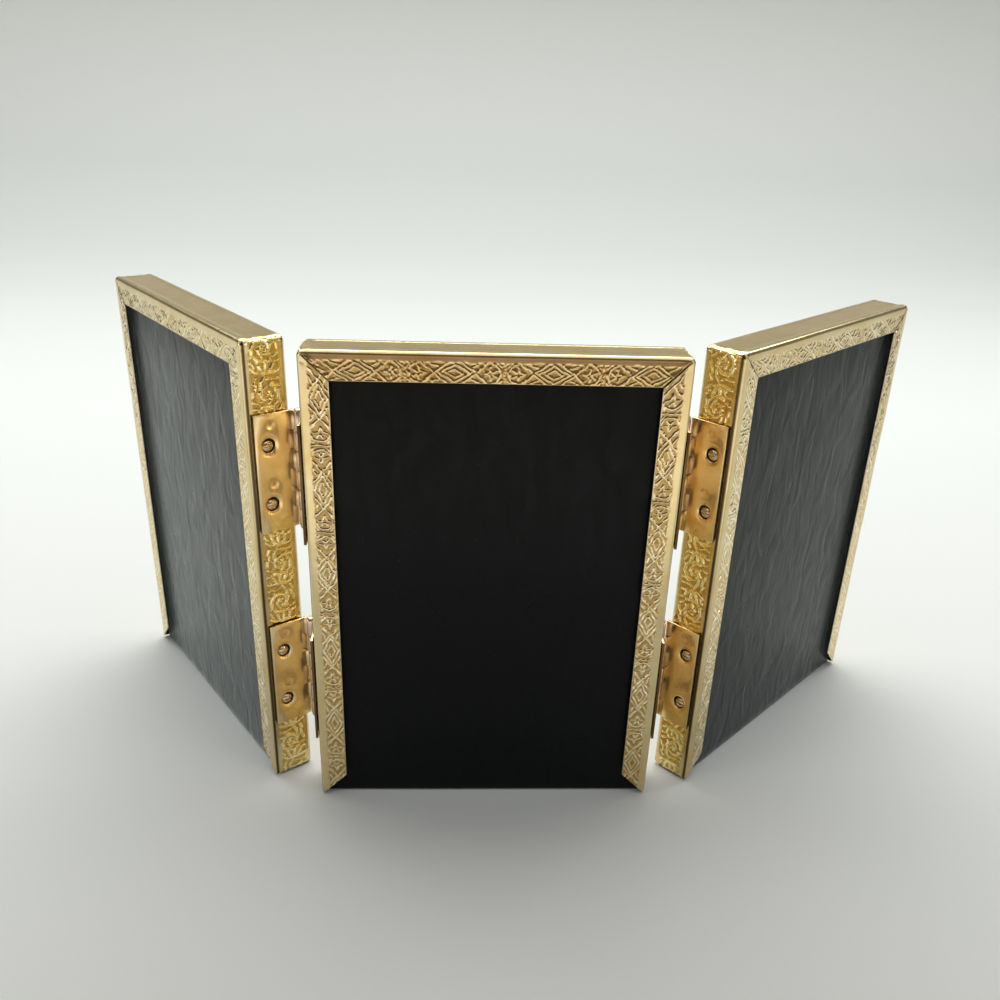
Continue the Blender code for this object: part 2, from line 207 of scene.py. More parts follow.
# %% [markdown]
# The sweep is matt paper. It isn't one even tone, because the rims are mirrors of it. Far in front it is
# painted warm, to stand in for a room, which the top lips reflect. Nearer it is almost white, which is what
# the back lips show. Just in front of the frame's foot it is painted a darker grey, as painted shade that
# deepens the frame's shadow there, and the lower back lips reflect it. Round the foot and behind it the
# paper is a light grey. The wall is painted a little darker above the camera's view, as painted shade for
# the panels' top walls, which would show pure white otherwise. So one ramp follows Y and another follows Z.

# %% Background paper
PAPER_FRONT = -1.2
PAPER_BACK = 1.6
PAPER_TONES = [
    (0.0, "#CDA88E"),
    (0.17, "#D2B29A"),
    (0.25, "#D6CFC8"),
    (0.36, "#E0E0DC"),
    # painted shade: this darker grey just in front of the foot deepens the frame's shadow for the lower lips
    # to reflect
    (0.385, "#A0A09C"),
    (0.43, "#BCBEBB"),
    (0.55, "#C2C5C2"),
    (0.68, "#BEC1BE"),
    (0.86, "#CCD0CC"),
    (0.96, "#E6E9E6"),
]
DIM_FROM = 0.33
DIM_TO = 0.6

sweep_paper, tree, shader, place = finish_of("matt_background_paper")
where = add(tree, "SeparateXYZ", Vector=place)
share = add(tree, "MapRange", Value=where.outputs["Y"], From_Min=PAPER_FRONT, From_Max=PAPER_BACK)
paper = add(tree, "ValToRGB", {"stops": PAPER_TONES}, Fac=share)
above = add(tree, "MapRange", Value=where.outputs["Z"], From_Min=DIM_FROM, From_Max=DIM_TO)
# painted shade: the wall's paper is darkened above the camera's view, for the top walls to reflect
painted_wall_shade = add(tree, "ValToRGB", {"stops": [(0.0, "#FFFFFF"), (1.0, "#D6D4CA")]}, Fac=above)
shade = add(tree, "Mix", {"data_type": "RGBA", "blend_type": "MULTIPLY"}, i0=1.0, i6=paper, i7=painted_wall_shade)
plug(tree, shader, Base_Color=shade, Roughness=0.9, Specular_IOR_Level=0.2)
sweep_mesh.materials.append(sweep_paper)
print("stage finish:", sweep_paper.name)

# %% [markdown]
# Metal shows what stands around it, so the lamps are large and soft. A wide key light hangs behind and
# above the frame. It throws the shadow towards us and brightens the floor in front, which the back lips
# reflect. A weaker panel and a strip hang over that floor, a narrow strip at each side draws a highlight
# down the hinge walls, and a wash lights the wall behind. The room itself is a dim world: cool and pale
# above and behind, and warm on the camera's side, where the small slopes of the embossing catch it.


# %% Lights and room
def soft_light(name, place, target, size, power, spread=180):
    """A rectangular area light that faces a target."""
    data = bpy.data.lights.new(name, "AREA")
    data.shape = "RECTANGLE"
    data.size, data.size_y = size
    data.energy = power
    data.spread = math.radians(spread)
    lamp = shown(name, data)
    aim = Vector(target) - Vector(place)
    lamp.matrix_world = Matrix.Translation(place) @ aim.to_track_quat("-Z", "Y").to_matrix().to_4x4()


soft_light("key_behind", (0.0, 0.45, 0.95), (0, -0.15, 0.0), (2.0, 0.8), 19)
soft_light("top_panel", (0, -0.45, 1.1), (0, 0, 0.05), (1.6, 0.9), 4)
soft_light("backdrop_wash", (0, 1.3, 1.5), (0, 1.2, 0.0), (3.6, 0.3), 16)
soft_light("front_strip", (0, -0.42, 0.7), (0, -0.42, 0), (0.9, 0.3), 0.65, 55)
soft_light("left_strip", (-0.9, -0.36, 0.24), (0, 0, 0.07), (0.12, 0.4), 1.2)
soft_light("right_strip", (0.85, -0.55, 0.35), (0, 0, 0.07), (0.12, 0.8), 1.0)

world = bpy.data.worlds.new("room")
world.use_nodes = True
bpy.context.scene.world = world
tree = world.node_tree
tree.nodes.clear()
direction = add(tree, "TexCoord").outputs["Generated"]
parts = add(tree, "SeparateXYZ", Vector=direction)
toward_back = add(tree, "MapRange", Value=parts.outputs["Y"], From_Min=-0.35, From_Max=0.5)
upward = add(tree, "MapRange", Value=parts.outputs["Z"], From_Min=0.22, From_Max=0.7)
light_side = add(tree, "Math", {"operation": "MAXIMUM"}, i0=toward_back, i1=upward)
room_colour = add(
    tree, "ValToRGB", {"stops": [(0.0, "#927A5E"), (0.5, "#A8A198"), (1.0, "#E6E9EA")]}, Fac=light_side
)
room_light = add(tree, "Background", Color=room_colour, Strength=0.42)
add(tree, "OutputWorld", Surface=room_light)

# %% [markdown]
# Each side of a panel's rim is one strip of sheet: a back lip, a bend, the side wall, a bend and a front
# lip. We keep the strip's own flat measure, `t`, from the back lip's inner edge to the front lip's, because
# the embossing was rolled into the flat strip before it was folded. The strip along the foot has no back
# lip: its wall begins 4.6 mm in from the back, where the board ends. All sizes are the CAD model's.

# %% The strip's section
PANEL_WIDTH = 93.0 * MM
PANEL_HEIGHT = 130.0 * MM
BACK_Y = -5.9 * MM
RIM_DEPTH = 11.8 * MM
LIP = 7.2 * MM
SHEET = 0.5 * MM
BEND = 1.0 * MM
CORNER = 1.5 * MM
FLAT = LIP - BEND
TURN = BEND * math.pi / 2
WALL = RIM_DEPTH - 2 * BEND
STRIP = 2 * FLAT + 2 * TURN + WALL
FOOT_OPEN = 4.6 * MM


def fold(t):
    """Where a flat measure t ends up: (inward, depth) and the outward normal, as arrays."""
    back = np.minimum(t, STRIP - t)
    angle = np.clip((back - FLAT) / BEND, 0, math.pi / 2)
    inward = np.where(back < FLAT, LIP - back, BEND - BEND * np.sin(angle))
    run = np.maximum(back - FLAT - TURN, 0)
    depth = BEND - BEND * np.cos(angle) + run
    front = t > STRIP / 2
    depth = np.where(front, RIM_DEPTH - depth, depth)
    normal_depth = np.where(front, 1.0, -1.0) * np.cos(angle)
    return inward, depth, -np.sin(angle), normal_depth


print("strip, flat:", round(STRIP / MM, 2), "mm wide")

# %% [markdown]
# The embossing on the lips repeats every 23 mm: a diamond in a diamond, two straps that cross, a rosette and
# a pair of crescents back to back. It is mirrored both ways, so it is enough to draw a quarter of it. Each
# stroke is a line of points, and a point's distance to the nearest stroke gives a rounded ridge.

# %% The pattern of the lips
REPEAT = 23.3
HALF = REPEAT / 2


def arc(centre, radius, start, stop, count=10):
    """Points on an arc, with angles in degrees."""
    turns = np.radians(np.linspace(start, stop, count))
    return [(centre[0] + radius * math.cos(a), centre[1] + radius * math.sin(a)) for a in turns]


def ridges(a, b, strokes):
    """Height from 0 to 1 of rounded ridges along strokes, each given as (points, half width)."""
    height = np.zeros(a.shape)
    for points, width in strokes:
        best = np.full(a.shape, 99.0)
        for (x0, y0), (x1, y1) in zip(points, points[1:] or points):
            dx, dy = x1 - x0, y1 - y0
            share = np.clip(((a - x0) * dx + (b - y0) * dy) / max(dx * dx + dy * dy, 1e-9), 0, 1)
            best = np.minimum(best, (a - x0 - share * dx) ** 2 + (b - y0 - share * dy) ** 2)
        height = np.maximum(height, np.clip(1 - best / width**2, 0, 1) ** 2)
    return height


ROSETTE = (8.3, 0.0)
LIP_STROKES = [
    ([(0, 2.1), (3.8, 0)], 0.42),
    ([(0, 1.05), (1.9, 0)], 0.36),
    ([(1.6, 2.45), (5.0, 0), (6.9, 2.1)], 0.42),
    ([(4.0, 1.5), (5.4, 2.1)], 0.4),
    ([(5.9, 1.1), (6.6, 1.3), (7.6, 2.3)], 0.38),
    ([(7.0, 0.0), (7.9, 0.35)], 0.38),
    ([(8.3, 0.55), (8.5, 1.5)], 0.4),
    ([(8.9, 0.2), (9.7, 0.75)], 0.4),
    (arc(ROSETTE, 2.35, 0, 74), 0.48),
    ([(11.65, 0.0), (11.65, 0.5)], 0.36),
    ([(11.65, 1.2), (11.65, 2.3)], 0.4),
    ([(10.9, 1.7), (10.0, 2.4)], 0.36),
]


def lip_pattern(along, across):
    """The lips' embossing at millimetres along from a diamond's middle and across from the band's."""
    a = np.abs((along + HALF) % REPEAT - HALF)
    return ridges(a, np.abs(across), LIP_STROKES)


print("strokes in a quarter of the lip's pattern:", len(LIP_STROKES))

# %% [markdown]
# The walls carry a running scroll instead: a palmette of five leaves, then a curl of foliage round a small
# flower, with leaflets that fill every gap. The second half of each repeat is the first one turned over, so
# half is enough. The leaflets lie on a loose grid and turn with the curl, and a seeded draw shifts each.

# %% The pattern of the walls
FLOWER = (6.4, 0.5)
LEAF_TIPS = [(2.9, -0.3), (2.4, -2.1), (0.9, -3.5), (2.5, 1.6), (1.1, 3.1)]
LEAFLET_SHIFT = 0.4
LEAFLET_HALF = 0.8


def curl(centre, start_radius, end_radius, start, stop, count=26):
    """Points on a spiral."""
    made = []
    for share in np.linspace(0, 1, count):
        radius = start_radius + (end_radius - start_radius) * share
        made += arc(centre, radius, start + (stop - start) * share, 0, 1)
    return made


WALL_STROKES = [([(0.2, 0.15 * y), (0.6 * x, 0.75 * y), (x, y)], 0.6) for x, y in LEAF_TIPS]
WALL_STROKES += [(curl(FLOWER, 3.3, 1.5, 215, -150), 0.62), ([FLOWER, FLOWER], 0.6)]
WALL_STROKES += [([petal, petal], 0.5) for petal in curl(FLOWER, 1.05, 1.05, 20, 308, 5)]
draw = np.random.default_rng(11)
for column, row in np.ndindex(6, 4):
    x = (column + 0.5) * HALF / 6 + draw.uniform(-LEAFLET_SHIFT, LEAFLET_SHIFT)
    y = (row - 1.5) * 2.1 + draw.uniform(-LEAFLET_SHIFT, LEAFLET_SHIFT)
    way = math.atan2(y - FLOWER[1], x - FLOWER[0]) + 1.2 + draw.uniform(-0.5, 0.5)
    dx, dy = LEAFLET_HALF * math.cos(way), LEAFLET_HALF * math.sin(way)
    WALL_STROKES.append(([(x - dx, y - dy), (x + dx, y + dy)], 0.45))


def wall_pattern(along, across):
    """The walls' embossing at millimetres along and across from the middle of the wall."""
    a = along % REPEAT
    second = a >= HALF
    a = np.where(second, a - HALF, a)
    b = np.where(second, -across, across)
    height = ridges(a, b, WALL_STROKES)
    height = np.maximum(height, ridges(a + HALF, -b, WALL_STROKES))
    return np.maximum(height, ridges(a - HALF, -b, WALL_STROKES))


print("strokes in half of the wall's pattern:", len(WALL_STROKES))

# %% [markdown]
# Thin sheet is never quite flat: it waves a little, and the rollers leave a faint stipple. A sum of sine
# waves in random directions gives both, from seeded numbers, so every run makes the same frame.


# %% Small unevenness
def waves(x, y, length, seed, count=9):
    """Smooth noise of about -1 to 1 with the given wavelength, from seeded sine waves."""
    draw = np.random.default_rng(seed)
    total = np.zeros(np.broadcast(x, y).shape)
    for _ in range(count):
        turn, shift = draw.uniform(0, math.tau, 2)
        stretch = draw.uniform(0.7, 1.5)
        step = math.tau / (length * stretch)
        total += np.sin((x * math.cos(turn) + y * math.sin(turn)) * step + shift)
    return total / math.sqrt(count * 2) / 1.2


print("waves at the origin:", waves(0.0, 0.0, 5.0, 1).round(3))

# %% [markdown]
# A strip's mesh starts as a flat grid: its rows run round the sheet's section, outer face and inner face,
# and its columns run along the side. Every grid point is then folded to its place. The rows lie 0.2 mm apart
# where there is embossing, and further apart where the sheet is plain.

# %% Rows of a strip
BAND_FROM = 2.3 * MM
BAND_TO = 7.0 * MM
WALL_PLAIN_BACK = 2.3 * MM
WALL_PLAIN_FRONT = 1.9 * MM
FINE = 0.2 * MM
LESS_FINE = 0.24 * MM
EDGE_ROWS = 0.18 * MM
BEND_ROWS = 0.25 * MM
PLAIN_ROWS = 0.35 * MM
BACK_MARGIN_ROWS = 0.4 * MM
FRONT_MARGIN_ROWS = 0.3 * MM
EDGE = 3 * MM


def spaced(start, stop, pitch):
    """Evenly spaced values from start up to, but not including, stop."""
    count = max(round((stop - start) / pitch), 1)
    return [start + (stop - start) * i / count for i in range(count)]


def section_rows(with_back_lip):
    """The flat measure of each row and whether it is on the outer face."""
    wall_start = FLAT + TURN
    wall_stop = STRIP - FLAT - TURN
    scroll_start = wall_start + (WALL_PLAIN_BACK if with_back_lip else FOOT_OPEN) - BEND
    scroll_stop = wall_stop - WALL_PLAIN_FRONT + BEND
    bands = []
    if with_back_lip:
        bands += [(0, EDGE_ROWS), (LIP - BAND_TO, FINE), (LIP - BAND_FROM, PLAIN_ROWS)]
        bands += [(FLAT, BEND_ROWS), (wall_start, BACK_MARGIN_ROWS)]
    bands += [(scroll_start, LESS_FINE), (scroll_stop, FRONT_MARGIN_ROWS), (wall_stop, BEND_ROWS)]
    bands += [(STRIP - FLAT, PLAIN_ROWS), (STRIP - LIP + BAND_FROM, LESS_FINE)]
    bands += [(STRIP - LIP + BAND_TO, EDGE_ROWS), (STRIP, None)]
    rows = []
    for (start, pitch), (stop, _) in zip(bands, bands[1:]):
        rows += spaced(start, stop, pitch)
    rows.append(STRIP)
    first = rows[0]
    inner = [STRIP, STRIP - EDGE, STRIP - FLAT, STRIP - FLAT - TURN / 2, wall_stop]
    inner += [wall_start, FLAT + TURN / 2, FLAT, EDGE, 0] if with_back_lip else [first]
    t = np.array(rows + inner + [first])
    outer = np.array([1.0] * len(rows) + [0.0] * len(inner) + [1.0])
    return t, outer


print("rows in a side strip:", len(section_rows(True)[0]))

# %% [markdown]
# The embossing lies in a band on each lip and on the wall between its two plain margins. It is deep on the
# lips and on the side walls, and all but rubbed out on the top and the foot. Hand-cut rollers wander, so
# the pattern is drawn a little to and fro, and some of its lines are pressed deeper than others.

# %% Relief
BAND_MIDDLE = (BAND_FROM + BAND_TO) / 2
WALL_MIDDLE = (WALL_PLAIN_BACK + RIM_DEPTH - WALL_PLAIN_FRONT) / 2
HALF_BAND = (BAND_TO - BAND_FROM) / 2 / MM
HALF_WALL = (RIM_DEPTH - WALL_PLAIN_BACK - WALL_PLAIN_FRONT) / 2 / MM
WALL_DEPTH = {"bottom": 0.06, "right": 1.2, "top": 0.06, "left": 1.2}
LIP_DEPTH = {"bottom": 1.0, "right": 1.0, "top": 0.65, "left": 1.0}
WANDER_ALONG = 0.22
WANDER_ACROSS = 0.18


def smooth_step(x, low, high):
    """0 below low, 1 above high and a smooth rise between."""
    share = np.clip((x - low) / (high - low), 0, 1)
    return share * share * (3 - 2 * share)


def embossing(s, t, phase, lip_depth, wall_depth):
    """Relief from 0 to 1 on the strip's outer face, its depth, and how much is embossed there."""
    back = np.minimum(t, STRIP - t)
    along = (s - phase) / MM + WANDER_ALONG * waves(s / MM, t / MM, 3, 5)
    lip_across = (LIP - back - BAND_MIDDLE) / MM + WANDER_ACROSS * waves(s / MM, t / MM, 3, 6)
    wall_across = (fold(t)[1] - WALL_MIDDLE) / MM
    on_lip = back < FLAT
    lip_share = smooth_step(HALF_BAND - np.abs(lip_across), 0.0, 0.2)
    wall_share = smooth_step(HALF_WALL - np.abs(wall_across), 0.0, 0.25)
    share = np.where(on_lip, lip_share, np.where(back > FLAT + TURN, wall_share, 0.0))
    height = np.where(on_lip, lip_pattern(along, lip_across), wall_pattern(along, wall_across))
    height = height * (0.75 + 0.25 * waves(s / MM, t / MM, 2.4, 7, 14)) * share
    return height, np.where(on_lip, lip_depth, wall_depth), share


print("embossed band:", round(2 * HALF_BAND, 1), "mm on a lip,", round(2 * HALF_WALL, 1), "mm on a wall")

# %% [markdown]
# What lifts a point of the sheet off its plain section is the relief, a stipple on the ground between the
# lines, a long buckle and, near the corners, a crumple. What pushes it back is the lips' spring: real lips
# open a little after the fold, so their outer edge lies deeper than their inner edge.

# %% Unevenness of a strip
LIFT = 0.27 * MM
SUNK_GROUND = 0.35
BUCKLE = 0.045 * MM
CRUMPLE = 0.08 * MM
CRUMPLED = 2.5 * MM
WALL_STIPPLE = 0.05 * MM
LIP_STIPPLE = 0.045 * MM


def lifted(s, t, q, outer, relief, on_wall, crisp, flatness, seed):
    """How far each point stands out; relief is what embossing() gives."""
    height, press, share = relief
    worn = np.where(on_wall, 1.0, crisp)
    pits = np.where(on_wall, WALL_STIPPLE * (1 - flatness) ** 1.5, LIP_STIPPLE * crisp)
    stipple = waves(s / MM, t / MM, 1.1, seed + 3, 14) + 0.6 * waves(s / MM, t / MM, 0.7, seed + 4, 14)
    ground = stipple * share * pits
    buckle = waves(s / MM, t / MM, 26, seed, 6) * BUCKLE
    crumple = waves(s / MM, t / MM, 2.6, seed + 1) * CRUMPLE * (1 - smooth_step(q, 0, CRUMPLED))
    lift = outer * ((height * press * worn - SUNK_GROUND * share) * LIFT + ground + crumple) + buckle * 0.5
    return np.where((t < 0.05 * MM) | (STRIP - t < 0.05 * MM), 0.0, lift)


def sprung(s, t, tilt, seed):
    """How much deeper the spring of the lips puts each point, with the lip's slope in degrees."""
    back = np.minimum(t, STRIP - t)
    near_bend = np.clip(back / FLAT, 0, 1)
    slope = math.tan(math.radians(1)) * (tilt + 0.5 * waves(s / MM, 0 * s, 34, seed + 2, 5))
    sag = slope * FLAT * near_bend * (0.4 + 0.6 * near_bend)
    sag = np.where(back < FLAT, sag, np.maximum(slope * (FLAT - (back - FLAT) * 1.4), 0))
    return np.where(t > STRIP / 2, -sag, sag)


print("relief stands", LIFT / MM, "mm above its ground at most")

# %% [markdown]
# The finish has to know where the sheet is worn or cut and where shade and light are painted, so each strip
# keeps four numbers a point: `relief` is 0 on the ground and 1 on the lines, a second number is 1 on the
# embossing of the side walls, which is painted a brighter yellow, a third is 1 in the crease of the back
# bend and under a hinge leaf, where shade is painted, and `bare` is 1 on the cut edge.

# %% Values for the finish, and closing a strip
HINGE_LENGTH = 32.0 * MM
HINGE_HEIGHTS = {"upper": PANEL_HEIGHT - 34.8 * MM, "lower": 34.8 * MM}
LEAF_FROM_BACK = 1.5 * MM
PLAIN_TONE = 0.55


def store(mesh, name, values):
    """Stores one number a point on a mesh, for a finish to read."""
    mesh.attributes.new(name, "FLOAT", "POINT").data.foreach_set("value", values.astype(np.float32))


def crease_shade_mask(along, t, side, length, on_wall, hinged):
    """Where shade is painted: along the crease of the back bend, and under the hinge leaves."""
    from_crease = np.abs(t - FLAT - 0.85 * TURN)
    dirt = (1 - smooth_step(from_crease, 0.2 * MM, 0.55 * MM)) * (side in ("left", "right"))
    if hinged:
        for height in HINGE_HEIGHTS.values():
            from_middle = np.abs(along - (height if side == "right" else length - height))
            beside = np.maximum(from_middle - HINGE_LENGTH / 2, LEAF_FROM_BACK - (t - FLAT - TURN + BEND))
            dirt = np.maximum(dirt, on_wall * (1 - smooth_step(beside, -0.2 * MM, 0.05 * MM)))
    return dirt


def close_up(mesh):
    """Merges the first row with the last, caps both ends and points every face outwards."""
    bm = bmesh.new()
    bm.from_mesh(mesh)
    rim = [v for v in bm.verts if v.is_boundary]
    bmesh.ops.remove_doubles(bm, verts=rim, dist=1e-6)
    for face in bm.faces:
        face.smooth = True
    open_edges = [e for e in bm.edges if e.is_boundary]
    caps = bmesh.ops.edgeloop_fill(bm, edges=open_edges, mat_nr=0, use_smooth=False)["faces"]
    bmesh.ops.triangulate(bm, faces=caps)
    bmesh.ops.recalc_face_normals(bm, faces=bm.faces)
    bm.to_mesh(mesh)
    bm.free()


print("hinge middles at heights of", [round(h / MM, 1) for h in HINGE_HEIGHTS.values()], "mm")

# %% [markdown]
# Each side has its own frame: where it starts on the panel's outline, as shares of its width and height,
# which way it runs, which way is inward, and how long it is. At its ends the wall bends round the corner's
# small radius and meets the next side on the diagonal, where the lips are mitred with a hair's gap and curl
# up a little.

# %% Fold a strip
SIDES = {
    "bottom": ((-0.5, 0.0), (1, 0), (0, 1), PANEL_WIDTH),
    "right": ((0.5, 0.0), (0, 1), (-1, 0), PANEL_HEIGHT),
    "top": ((0.5, 1.0), (-1, 0), (0, -1), PANEL_WIDTH),
    "left": ((-0.5, 1.0), (0, -1), (1, 0), PANEL_HEIGHT),
}
MITRE_GAP = 0.12 * MM
CURLED = 1.3 * MM


def side_strip(name, side, place, phase, seed, crisp, tilt, hinged, curls):
    """One side of a rim as a closed, embossed, folded sheet; curls lift its ends at the mitres."""
    origin, run, into, length = SIDES[side]
    t_rows, outer_rows = section_rows(side != "bottom")
    bm = bmesh.new()
    bmesh.ops.create_grid(bm, x_segments=round(length / FINE), y_segments=len(t_rows) - 1, size=0.5)
    mesh = to_mesh(name, bm)

    flat = np.zeros(len(mesh.vertices) * 3)
    mesh.vertices.foreach_get("co", flat)
    flat = flat.reshape(-1, 3) + 0.5
    row = np.rint(flat[:, 1] * (len(t_rows) - 1)).astype(int)
    t, outer = t_rows[row], outer_rows[row]
    back = np.minimum(t, STRIP - t)
    on_wall = back > FLAT + TURN
    inward, depth, normal_in, normal_depth = fold(t)
    inward = inward - (1 - outer) * SHEET * normal_in
    depth = depth - (1 - outer) * SHEET * normal_depth

    radius = np.maximum(CORNER - inward, 0)
    start = np.maximum(CORNER, inward)
    end_arc = radius * math.pi / 4
    gap = MITRE_GAP * smooth_step(inward, 0.8 * MM, 1.6 * MM)
    span = length - 2 * start + 2 * end_arc - 2 * gap
    p = -end_arc + gap + flat[:, 0] * span
    s = start + p
    far = s > length / 2
    q = np.where(far, length - 2 * start - p, p)
    turn = np.where(q < 0, -q / np.maximum(radius, 1e-9), 0.0)

    flatness = max(1 - WALL_DEPTH[side], 0)
    relief = embossing(s, t, phase, LIP_DEPTH[side], WALL_DEPTH[side])
    lift = lifted(s, t, q, outer, relief, on_wall, crisp, flatness, seed)
    depth = depth + sprung(s, t, tilt, seed)
    curl = np.where(far, curls[1], curls[0]) * MM * (1 - smooth_step(q, 0, CURLED))
    depth = depth - np.where((back < FLAT) & (t < STRIP / 2), curl * smooth_step(inward, BEND, 3 * MM), 0)

    bent = (radius > 0) & (q < 0)
    along = np.where(bent, CORNER - radius * np.sin(turn), start + q)
    inward = np.where(bent, CORNER - radius * np.cos(turn), inward)
    along = along + lift * normal_in * np.sin(turn)
    inward = inward + lift * normal_in * np.cos(turn)
    depth = depth + lift * normal_depth
    along = np.where(far, length - along, along)

    points = np.zeros((len(t), 3))
    points[:, 0] = origin[0] * PANEL_WIDTH + run[0] * along + into[0] * inward
    points[:, 2] = origin[1] * PANEL_HEIGHT + run[1] * along + into[1] * inward
    points[:, 1] = BACK_Y + depth
    points = points @ np.array(place.to_3x3()).T + np.array(place.translation)
    mesh.vertices.foreach_set("co", points.astype(np.float32).ravel())

    height, press, share = relief
    tint = 3 * crisp - 2
    tone = np.where(on_wall, 0.3 * flatness + press * height, 1 - tint + tint * press * height)
    store(mesh, "relief", np.where(share > 0.02, tone, PLAIN_TONE))
    # painted light: marks the side walls' embossing, which is painted a brighter yellow
    store(mesh, "kept", on_wall * share * (side in ("left", "right")))
    # painted shade: marks the crease of the back bend and the wall under the hinge leaves, which are painted
    # dark
    store(mesh, "dirt", crease_shade_mask(along, t, side, length, on_wall, hinged))
    store(mesh, "bare", 1 - smooth_step(back, 0.05 * MM, 0.2 * MM))
    close_up(mesh)
    return shown(name, mesh)


print("columns in a side strip:", round(PANEL_HEIGHT / FINE) + 1)

# %% [markdown]
# The centre panel stands square. A side panel is built in line with it, beyond the pin, and then turned
# about the pin to the joint's rest. `PHASES` says where in millimetres each side's pattern starts, as the
# strips were cut from a long roll. The side panels are worn softer, the centre's top lip has sprung back the
# most, and the centre's side lips curl at the corners. `TILTS` and `SPRUNG` are the lips' slopes in degrees,
# and `CURLS` are millimetres at a strip's two ends.

# %% The rims of the three panels
PHASES = {
    "centre": {"bottom": 11.0, "right": 11.5, "top": 9.9, "left": 11.6},
    "left": {"bottom": 4.0, "right": 16.0, "top": 7.0, "left": 3.0},
    "right": {"bottom": 15.0, "right": 5.0, "top": 18.0, "left": 9.0},
}
CRISPNESS = {"centre": 1.0, "left": 0.85, "right": 0.85}
TILTS = {"bottom": 1.0, "right": 0.8, "top": 1.5, "left": 0.8}
SPRUNG = {("centre", "top"): 3.4}
CURLS = {("centre", "right"): (0.06, 0.4), ("centre", "left"): (0.14, 0.06)}
SMALL_CURLS = (0.06, 0.06)
HINGED = [("centre", "left"), ("centre", "right"), ("left", "right"), ("right", "left")]


def wing_place(joint):
    """Where a side panel stands: in line beyond its pin, then turned to the joint's rest."""
    pin = Vector((joint["pos_m"][0], joint["pos_m"][1], 0))
    turn = -math.radians(joint["range_deg"][0]) * joint["axis"][2]
    swing = Matrix.Translation(pin) @ Matrix.Rotation(turn, 4, "Z") @ Matrix.Translation(-pin)
    return swing @ Matrix.Translation((2 * pin.x, 0, 0))


joints = {joint["name"]: joint for joint in frame["joints"]}
PANELS = {
    "centre": ("centre", Matrix.Identity(4)),
    "left": ("left_wing", wing_place(joints["left_wing_fold"])),
    "right": ("right_wing", wing_place(joints["right_wing_fold"])),
}

rim_pieces = []
for number, (panel, (body, place)) in enumerate(PANELS.items()):
    for turn, side in enumerate(SIDES):
        strip = side_strip(
            f"{panel}_rim_{side}",
            side,
            place,
            PHASES[panel][side] * MM,
            100 * number + 10 * turn,
            CRISPNESS[panel],
            SPRUNG.get((panel, side), TILTS[side]),
            (panel, side) in HINGED,
            CURLS.get((panel, side), SMALL_CURLS),
        )
        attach(strip, body)
        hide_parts(f"{panel}_rim")
        rim_pieces.append(strip)
print("rim strips:", {o.name: len(o.data.polygons) for o in rim_pieces})

# %% [markdown]
# The rim is thin steel sheet with a gold-tone finish, rolled through an engraved roller and then lacquered.
# The high lines are polished by handling, and brown patina stays in the hollows. Painted shade, a dark
# brown, lies in the crease of the back bend and on the wall under the hinges. Its cut edge shows the bare,
# greyer metal, and the embossing of the side walls is painted a brighter, yellower gold, as painted light.
# The finish reads all this from the values stored on the mesh.

# %% Gold-tone embossed sheet
gold_sheet, tree, shader, place = finish_of("gold_tone_embossed_sheet")
relief, bare, kept, dirt = [
    add(tree, "Attribute", {"attribute_name": name}) for name in ("relief", "bare", "kept", "dirt")
]
blotch = add(tree, "TexNoise", Vector=place, Scale=130.0, Detail=4.0, Roughness=0.6)
tone = add(
    tree,
    "ValToRGB",
    {"stops": [(0.0, "#BCA06A"), (0.3, "#D8C290"), (0.55, "#E0CFA2"), (0.75, "#FFF6DE")]},
    Fac=relief,
)
worn = add(tree, "ValToRGB", {"stops": [(0.3, "#F0E6CE"), (0.7, "#FFFFFF")]}, Fac=blotch)
mixed = add(tree, "Mix", {"data_type": "RGBA", "blend_type": "MULTIPLY"}, i0=1.0, i6=tone, i7=worn)
# painted light: a brighter, yellower gold for the side walls' embossing, standing in for the light they
# reflect
yellow = add(
    tree,
    "ValToRGB",
    {"stops": [(0.0, "#CFAE62"), (0.3, "#EBD38C"), (0.75, "#FBEAAE"), (1.0, "#FFF6D0")]},
    Fac=relief,
)
wall_painted_bright = add(tree, "Mix", {"data_type": "RGBA"}, i0=kept, i6=mixed, i7=yellow)
# painted shade: dark brown in the crease of the back bend and under the hinge leaves
crease_shaded = add(tree, "Mix", {"data_type": "RGBA"}, i0=dirt, i6=wall_painted_bright, i7=linear("#4A3B26"))
edge_colour = add(tree, "Mix", {"data_type": "RGBA"}, i0=bare, i6=crease_shaded, i7=linear("#A3978A"))
dull = add(tree, "MapRange", Value=relief, From_Max=0.7, To_Min=0.28, To_Max=0.18)
grit = add(tree, "TexNoise", Vector=place, Scale=2500.0, Detail=2.0)
skin = add(tree, "Bump", Strength=0.04, Distance=0.00005, Height=grit)
plug(tree, shader, Metallic=1.0, Base_Color=edge_colour, Roughness=dull, Normal=skin)
for strip in rim_pieces:
    strip.data.materials.append(gold_sheet)
print("rim finish:", gold_sheet.name)

# %% [markdown]
# Each backing board is a stiff board in black leatherette. It isn't quite flat, and its edges are rounded.
# A grid gives the face; it is waved a little, extruded to the board's thickness and bevelled.

# %% Backing boards
BOARD_FRONT = 1.9 * MM
BOARD_THICKNESS = 2.4 * MM
BOARD_GAP = 0.3 * MM
BOARD_WAVE = 0.05 * MM
BOARD_SIZE = (PANEL_WIDTH - 2 * (SHEET + BOARD_GAP), PANEL_HEIGHT - SHEET - 2 * BOARD_GAP)


def thicken(bm, step):
    """Extrudes the faces of a flat shape by a step, so that it is closed."""
    made = bmesh.ops.extrude_face_region(bm, geom=bm.faces[:], use_keep_orig=True)["geom"]
    bmesh.ops.translate(bm, verts=verts_of(made), vec=step)
    bmesh.ops.recalc_face_normals(bm, faces=bm.faces)


